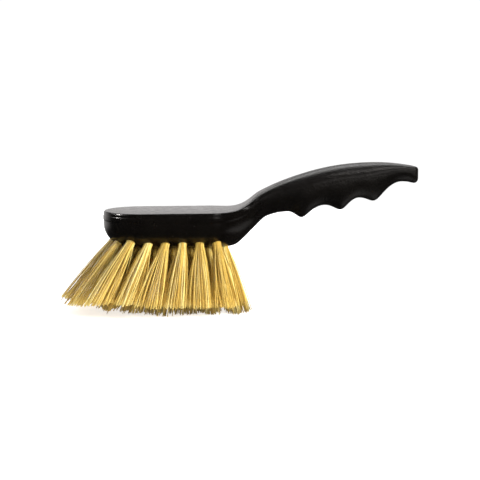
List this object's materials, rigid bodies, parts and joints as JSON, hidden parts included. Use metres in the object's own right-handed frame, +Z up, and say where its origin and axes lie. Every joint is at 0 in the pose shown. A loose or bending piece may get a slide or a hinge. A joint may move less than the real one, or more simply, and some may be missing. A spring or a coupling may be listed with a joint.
{
  "type": "wheel brush",
  "caption": "Hand wheel brush: one-piece black plastic block and raised finger-grooved handle, set with flared rows of straw-yellow bristle tufts on hidden wire anchors.",
  "frame": {"origin": "middle of the footprint's box, on the plane that the bristles are trimmed to", "axes": "+X from the nose of the block to the end of the handle, +Y across the block, +Z up from the bristle tips to the block"},
  "size_m": [0.2286, 0.084, 0.0938],
  "materials": {
    "block_plastic": "black moulded plastic, satin on the block and finely grained on the handle",
    "bristle": "straw-yellow synthetic bristle",
    "anchor_wire": "flat plated steel wire"
  },
  "bodies": {
    "root": {"handle_block": "block_plastic", "tuft_nose_1": "bristle", "tuft_nose_2": "bristle", "tuft_nose_3": "bristle", "tuft_near_outer_1": "bristle", "tuft_near_outer_2": "bristle", "tuft_near_outer_3": "bristle", "tuft_near_outer_4": "bristle", "tuft_near_outer_5": "bristle", "tuft_near_outer_6": "bristle", "tuft_near_inner_1": "bristle", "tuft_near_inner_2": "bristle", "tuft_near_inner_3": "bristle", "tuft_near_inner_4": "bristle", "tuft_near_inner_5": "bristle", "tuft_near_inner_6": "bristle", "tuft_far_inner_1": "bristle", "tuft_far_inner_2": "bristle", "tuft_far_inner_3": "bristle", "tuft_far_inner_4": "bristle", "tuft_far_inner_5": "bristle", "tuft_far_inner_6": "bristle", "tuft_far_outer_1": "bristle", "tuft_far_outer_2": "bristle", "tuft_far_outer_3": "bristle", "tuft_far_outer_4": "bristle", "tuft_far_outer_5": "bristle", "tuft_far_outer_6": "bristle", "anchor_nose_1": "anchor_wire", "anchor_nose_2": "anchor_wire", "anchor_nose_3": "anchor_wire", "anchor_near_outer_1": "anchor_wire", "anchor_near_outer_2": "anchor_wire", "anchor_near_outer_3": "anchor_wire", "anchor_near_outer_4": "anchor_wire", "anchor_near_outer_5": "anchor_wire", "anchor_near_outer_6": "anchor_wire", "anchor_near_inner_1": "anchor_wire", "anchor_near_inner_2": "anchor_wire", "anchor_near_inner_3": "anchor_wire", "anchor_near_inner_4": "anchor_wire", "anchor_near_inner_5": "anchor_wire", "anchor_near_inner_6": "anchor_wire", "anchor_far_inner_1": "anchor_wire", "anchor_far_inner_2": "anchor_wire", "anchor_far_inner_3": "anchor_wire", "anchor_far_inner_4": "anchor_wire", "anchor_far_inner_5": "anchor_wire", "anchor_far_inner_6": "anchor_wire", "anchor_far_outer_1": "anchor_wire", "anchor_far_outer_2": "anchor_wire", "anchor_far_outer_3": "anchor_wire", "anchor_far_outer_4": "anchor_wire", "anchor_far_outer_5": "anchor_wire", "anchor_far_outer_6": "anchor_wire"}
  },
  "joints": []
}
